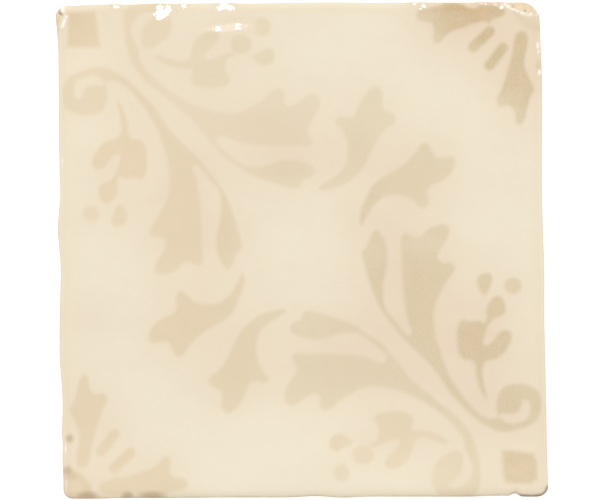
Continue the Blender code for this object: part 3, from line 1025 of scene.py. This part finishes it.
def mix_colour(tree, share, first, second, blend="MIX"):
    inputs = {0: share, 6: opaque(first), 7: opaque(second)}
    node = place_node(
        tree, "ShaderNodeMix", inputs, data_type="RGBA", blend_type=blend, clamp_factor=False
    )
    return node.outputs[2]


def tinted(tree, share, colour, tint):
    """A colour multiplied by a tint, by a share from 0 to 1."""
    return mix_colour(tree, share, colour, mix_colour(tree, 1.0, colour, tint, "MULTIPLY"))


def brightened(tree, colour, amount):
    """A colour multiplied by an even amount."""
    grey = place_node(tree, "ShaderNodeCombineColor", {0: amount, 1: amount, 2: amount})
    return mix_colour(tree, 1.0, colour, grey.outputs[0], "MULTIPLY")


def noise_node(tree, place, scale, detail, roughness=0.5):
    inputs = {"Vector": place, "Scale": scale, "Detail": detail, "Roughness": roughness}
    return place_node(tree, "ShaderNodeTexNoise", inputs).outputs[0]


def bump_node(tree, strength, height):
    inputs = {"Strength": strength, "Distance": MM, "Height": height}
    return place_node(tree, "ShaderNodeBump", inputs).outputs[0]


def opaque(colour):
    return (*colour, 1.0) if isinstance(colour, tuple) and len(colour) == 3 else colour


def painted(tree, name):
    """A layer of the mesh's paint, as a value."""
    return place_node(tree, "ShaderNodeAttribute", attribute_name=name).outputs["Fac"]


def tile_place(tree):
    """The place on the tile, in millimetres."""
    spot = place_node(tree, "ShaderNodeTexCoord").outputs["Object"]
    inputs = {0: spot, "Scale": 1 / MM}
    return place_node(tree, "ShaderNodeVectorMath", inputs, operation="SCALE").outputs[0]


def new_group(name, inputs, outputs):
    """An empty node group that takes a place and the numbers given, and puts out values."""
    tree = bpy.data.node_groups.new(name, "ShaderNodeTree")
    tree.interface.new_socket("Place", in_out="INPUT", socket_type="NodeSocketVector")
    for label, value in inputs.items():
        socket = tree.interface.new_socket(label, in_out="INPUT", socket_type="NodeSocketFloat")
        socket.default_value = value
    for label in outputs:
        tree.interface.new_socket(label, in_out="OUTPUT", socket_type="NodeSocketFloat")
    return tree, tree.nodes.new("NodeGroupInput").outputs, tree.nodes.new("NodeGroupOutput").inputs


def cloud_group():
    """Soft clouds of a given size and sideways stretch, mostly from -1 to 1."""
    tree, given, out = new_group("soft_clouds", {"Size": 20.0, "Stretch": 1.0}, ["Cloud"])
    wide = place_node(tree, "ShaderNodeCombineXYZ", {0: given["Stretch"], 1: 1.0, 2: 1.0})
    squeezed = place_node(
        tree, "ShaderNodeVectorMath", {0: given["Place"], 1: wide.outputs[0]}, operation="DIVIDE"
    )
    fine = sum_node(tree, "DIVIDE", 1.0, given["Size"])
    noise = noise_node(tree, squeezed.outputs[0], fine, 3.0)
    tree.links.new(sum_node(tree, "MULTIPLY_ADD", noise, 4.0, -2.0), out["Cloud"])
    return tree


def grain_group():
    """The fine grain of fired clay and glaze, mostly from -1 to 1, and specks from 0 to 1."""
    sizes = {"Size": 0.5, "Speck Size": 2.0, "Speck Share": 0.1}
    tree, given, out = new_group("fired_grain", sizes, ["Grain", "Specks"])
    fine = sum_node(tree, "DIVIDE", 1.0, given["Size"])
    noise = noise_node(tree, given["Place"], fine, 2.0, 0.6)
    tree.links.new(sum_node(tree, "MULTIPLY_ADD", noise, 4.0, -2.0), out["Grain"])
    sparse = sum_node(tree, "DIVIDE", 1.0, given["Speck Size"])
    cells = place_node(
        tree, "ShaderNodeTexVoronoi", {"Vector": given["Place"], "Scale": sparse, "Randomness": 1.0}
    )
    reach = sum_node(tree, "DIVIDE", cells.outputs["Distance"], given["Speck Share"])
    core = sum_node(tree, "SUBTRACT", 1.5, reach, clamp=True)
    tree.links.new(sum_node(tree, "MULTIPLY", core, core), out["Specks"])
    return tree


def use_group(tree, group, inputs):
    return place_node(tree, "ShaderNodeGroup", inputs, node_tree=group).outputs


def new_material(name):
    """A material with its node tree, and its Principled shader."""
    material = bpy.data.materials.new(name)
    material.use_nodes = True
    return material, material.node_tree, material.node_tree.nodes["Principled BSDF"]


def cream_glaze(clouds, grain):
    """Cream glaze over a printed ornament: glossy on the face, thin and dry on the arris, with painted
    shade on the arris and edges and painted highlights at a few glints.
    """
    material, tree, shader = new_material("cream_glaze")
    place = tile_place(tree)
    layers = ("stain", "olive", "tone", "thin_and_shade", "dry", "wet", "halo", "burnt_and_shade", "pale")
    stain, olive, tone, thin_and_shade, dry, wet, halo, burnt_and_shade, glint_paint = (painted(tree, name) for name in layers)
    crumple = noise_node(tree, place, 1.6, 2.0)
    broad = use_group(tree, clouds, {"Place": place, "Size": 11.0, "Stretch": 1.8})["Cloud"]
    small = use_group(tree, clouds, {"Place": place, "Size": 3.2, "Stretch": 1.0})["Cloud"]
    fired = use_group(
        tree, grain, {"Place": place, "Size": 0.45, "Speck Size": 3.5, "Speck Share": 0.05}
    )

    # The cream itself
    tone = sum_node(tree, "MULTIPLY_ADD", broad, 0.28, tone)
    tone = sum_node(tree, "MULTIPLY_ADD", small, 0.10, tone)
    level = sum_node(tree, "MULTIPLY_ADD", tone, 0.5, 0.5, clamp=True)
    ramp = place_node(tree, "ShaderNodeValToRGB", {0: level})
    ramp.color_ramp.elements[0].color = opaque(CREAM_DARK)
    ramp.color_ramp.elements[1].color = opaque(CREAM_LIGHT)
    ramp.color_ramp.elements.new(0.5).color = opaque(CREAM)
    colour = tinted(tree, halo, ramp.outputs["Color"], HALO)

    # The ornament: warm or olive, and grainier where it is olive
    leaning = sum_node(tree, "MULTIPLY_ADD", small, 0.20, olive, clamp=True)
    ink = mix_colour(tree, leaning, STAIN_WARM, STAIN_OLIVE)
    uneven = sum_node(tree, "MULTIPLY_ADD", small, 0.08, 1.0)
    uneven = sum_node(tree, "MULTIPLY_ADD", broad, 0.06, uneven)
    rough_print = sum_node(tree, "MULTIPLY_ADD", olive, 0.26, 0.02)
    uneven = sum_node(tree, "MULTIPLY_ADD", fired["Grain"], rough_print, uneven)
    colour = tinted(tree, sum_node(tree, "MULTIPLY", stain, uneven), colour, ink)

    # Fine grain; the thin glaze and painted shade on the arris; painted highlights at glints on the
    # lip, ridges and flecks; and burnt marks with painted shade along the edges
    pale = sum_node(tree, "MULTIPLY_ADD", fired["Grain"], 0.012, 1.0)
    colour = brightened(tree, colour, pale)
    thin_and_shade_unevenness = sum_node(tree, "MULTIPLY_ADD", small, 0.35, 0.65, clamp=True)
    colour = tinted(tree, sum_node(tree, "MULTIPLY", thin_and_shade, thin_and_shade_unevenness), colour, THIN_GLAZE_AND_SHADE)
    # Painted highlight: glints painted pale on the glaze's lip, ridges and flecks, broken up by the
    # crumple
    glint_breakup = sum_node(tree, "MULTIPLY_ADD", crumple, 2.8, -0.85)
    glint_share = sum_node(tree, "MULTIPLY", glint_paint, glint_breakup, clamp=True)
    colour = mix_colour(tree, glint_share, colour, GLINT_HIGHLIGHT)
    colour = mix_colour(tree, burnt_and_shade, colour, BURNT_AND_SHADE)

    # Gloss: the arris is dry but for its wet places, which have ragged rims
    ragged = sum_node(tree, "MULTIPLY_ADD", crumple, WET_RAGGEDNESS, -0.5 * WET_RAGGEDNESS)
    pooled = sum_node(tree, "ADD", wet, ragged)
    pooled = place_node(
        tree, "ShaderNodeMapRange", {0: pooled, 1: 0.42, 2: 0.58, 3: 0.0, 4: 1.0}
    ).outputs[0]
    gloss = sum_node(tree, "MAXIMUM", sum_node(tree, "SUBTRACT", 1.0, dry), pooled)

    # A faint orange peel, the grain, and the crumple of the wet places
    height = sum_node(tree, "MULTIPLY", noise_node(tree, place, 0.28, 2.0), 0.05)
    height = sum_node(tree, "MULTIPLY_ADD", fired["Grain"], 0.0012, height)
    height = sum_node(tree, "MULTIPLY_ADD", sum_node(tree, "MULTIPLY", crumple, pooled), 0.03, height)
    surface = {
        "Base Color": colour,
        "Roughness": 0.85,
        "IOR": GLAZE_IOR,
        "Normal": bump_node(tree, 0.6, height),
        "Coat Weight": gloss,
        "Coat Roughness": 0.06,
        "Coat IOR": GLAZE_IOR,
    }
    feed(tree, shader, surface)
    return material


def bare_clay(clouds, grain):
    """Fired clay with no glaze: matt, peach coloured, sandy and speckled."""
    material, tree, shader = new_material("bare_clay")
    place = tile_place(tree)
    burnt_and_shade = painted(tree, "burnt_and_shade")
    broad = use_group(tree, clouds, {"Place": place, "Size": 9.0, "Stretch": 1.3})["Cloud"]
    small = use_group(tree, clouds, {"Place": place, "Size": 1.8, "Stretch": 1.0})["Cloud"]
    fired = use_group(
        tree, grain, {"Place": place, "Size": 0.35, "Speck Size": 1.1, "Speck Share": 0.12}
    )
    warmth = sum_node(tree, "MULTIPLY_ADD", broad, 0.30, 0.30, clamp=True)
    colour = mix_colour(tree, warmth, CLAY, CLAY_PINK)
    pale = sum_node(tree, "MULTIPLY_ADD", fired["Grain"], 0.06, 1.0)
    pale = sum_node(tree, "MULTIPLY_ADD", small, 0.05, pale)
    colour = brightened(tree, colour, pale)
    specks = sum_node(tree, "MULTIPLY", fired["Specks"], 0.75)
    colour = mix_colour(tree, specks, colour, CLAY_SPECK)
    # Scorch, the pits' dark and the painted shade of the dark lines along the edges, in brown
    colour = mix_colour(tree, burnt_and_shade, colour, BURNT_AND_SHADE)
    height = sum_node(tree, "MULTIPLY", fired["Grain"], 0.03)
    height = sum_node(tree, "MULTIPLY_ADD", small, 0.06, height)
    height = sum_node(tree, "MULTIPLY_ADD", fired["Specks"], -0.08, height)
    surface = {
        "Base Color": colour,
        "Roughness": sum_node(tree, "MULTIPLY_ADD", small, 0.05, 0.85),
        "IOR": CLAY_IOR,
        "Normal": bump_node(tree, 0.7, height),
    }
    feed(tree, shader, surface)
    return material


def pale_floor():
    """A plain white table that glows faintly, and that can be seen through from below."""
    material, tree, shader = new_material("pale_floor")
    surface = {
        "Base Color": opaque((FLOOR_WHITE,) * 3),
        "Roughness": 0.9,
        "Specular IOR Level": 0.0,
        "Emission Color": (1.0, 1.0, 1.0, 1.0),
        "Emission Strength": FLOOR_GLOW,
    }
    feed(tree, shader, surface)
    below = place_node(tree, "ShaderNodeNewGeometry").outputs["Backfacing"]
    clear = place_node(tree, "ShaderNodeBsdfTransparent").outputs[0]
    both = place_node(tree, "ShaderNodeMixShader", {0: below, 1: shader.outputs[0], 2: clear})
    tree.links.new(both.outputs[0], tree.nodes["Material Output"].inputs["Surface"])
    return material


def make_floor():
    half = FLOOR_SIZE / 2 * MM
    mesh = bpy.data.meshes.new("floor")
    corners = [(-half, -half, 0), (half, -half, 0), (half, half, 0), (-half, half, 0)]
    mesh.from_pydata(corners, [], [(0, 1, 2, 3)])
    mesh.materials.append(pale_floor())
    floor = put_in_scene("floor", mesh)
    floor.location.z = FLOOR_LIFT * MM
    return floor


def softbox(name, azimuth_deg, elevation_deg, width, height, radiance):
    """A soft panel of light aimed at the tile."""
    azimuth, elevation = math.radians(azimuth_deg), math.radians(elevation_deg)
    towards = Vector(
        (
            math.sin(azimuth) * math.cos(elevation),
            math.cos(azimuth) * math.cos(elevation),
            math.sin(elevation),
        )
    )
    panel = bpy.data.lights.new(name, "AREA")
    panel.shape = "RECTANGLE"
    panel.size = width * MM
    panel.size_y = height * MM
    panel.energy = radiance * math.pi * panel.size * panel.size_y
    lamp = put_in_scene(name, panel)
    lamp.location = towards * PANEL_DISTANCE * MM
    lamp.rotation_mode = "QUATERNION"
    lamp.rotation_quaternion = towards.to_track_quat("Z", "Y")


def light_the_room():
    world = bpy.data.worlds.new("room")
    world.use_nodes = True
    backdrop = world.node_tree.nodes["Background"]
    backdrop.inputs["Color"].default_value = (1.0, 1.0, 1.0, 1.0)
    backdrop.inputs["Strength"].default_value = ROOM_LIGHT
    bpy.context.scene.world = world
    for name, panel in PANELS.items():
        softbox(name, *panel)


def make_camera():
    """A long lens straight above the tile, framed as the picture is."""
    lens = bpy.data.cameras.new("overhead")
    lens.lens = LENS_MM
    lens.sensor_width = SENSOR_MM
    distance = LENS_MM / SENSOR_MM * PICTURE_WIDTH_PX * MM_PER_PX
    lens.clip_start = 0.01
    lens.clip_end = 20.0
    camera = put_in_scene("overhead", lens)
    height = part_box(TILE)[1].z + distance * MM
    camera.location = (PICTURE_MIDDLE[0] * MM, PICTURE_MIDDLE[1] * MM, height)
    camera.rotation_euler = (0.0, 0.0, -math.radians(PICTURE_TURN_DEG))
    bpy.context.scene.camera = camera


def main():
    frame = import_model()
    clouds, grain = cloud_group(), grain_group()
    tile = make_tile(frame["nodes"][TILE], cream_glaze(clouds, grain), bare_clay(clouds, grain))
    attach(tile, "root")
    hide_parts(TILE)
    make_floor()
    light_the_room()
    make_camera()
    bpy.context.scene.view_settings.view_transform = "Standard"


main()
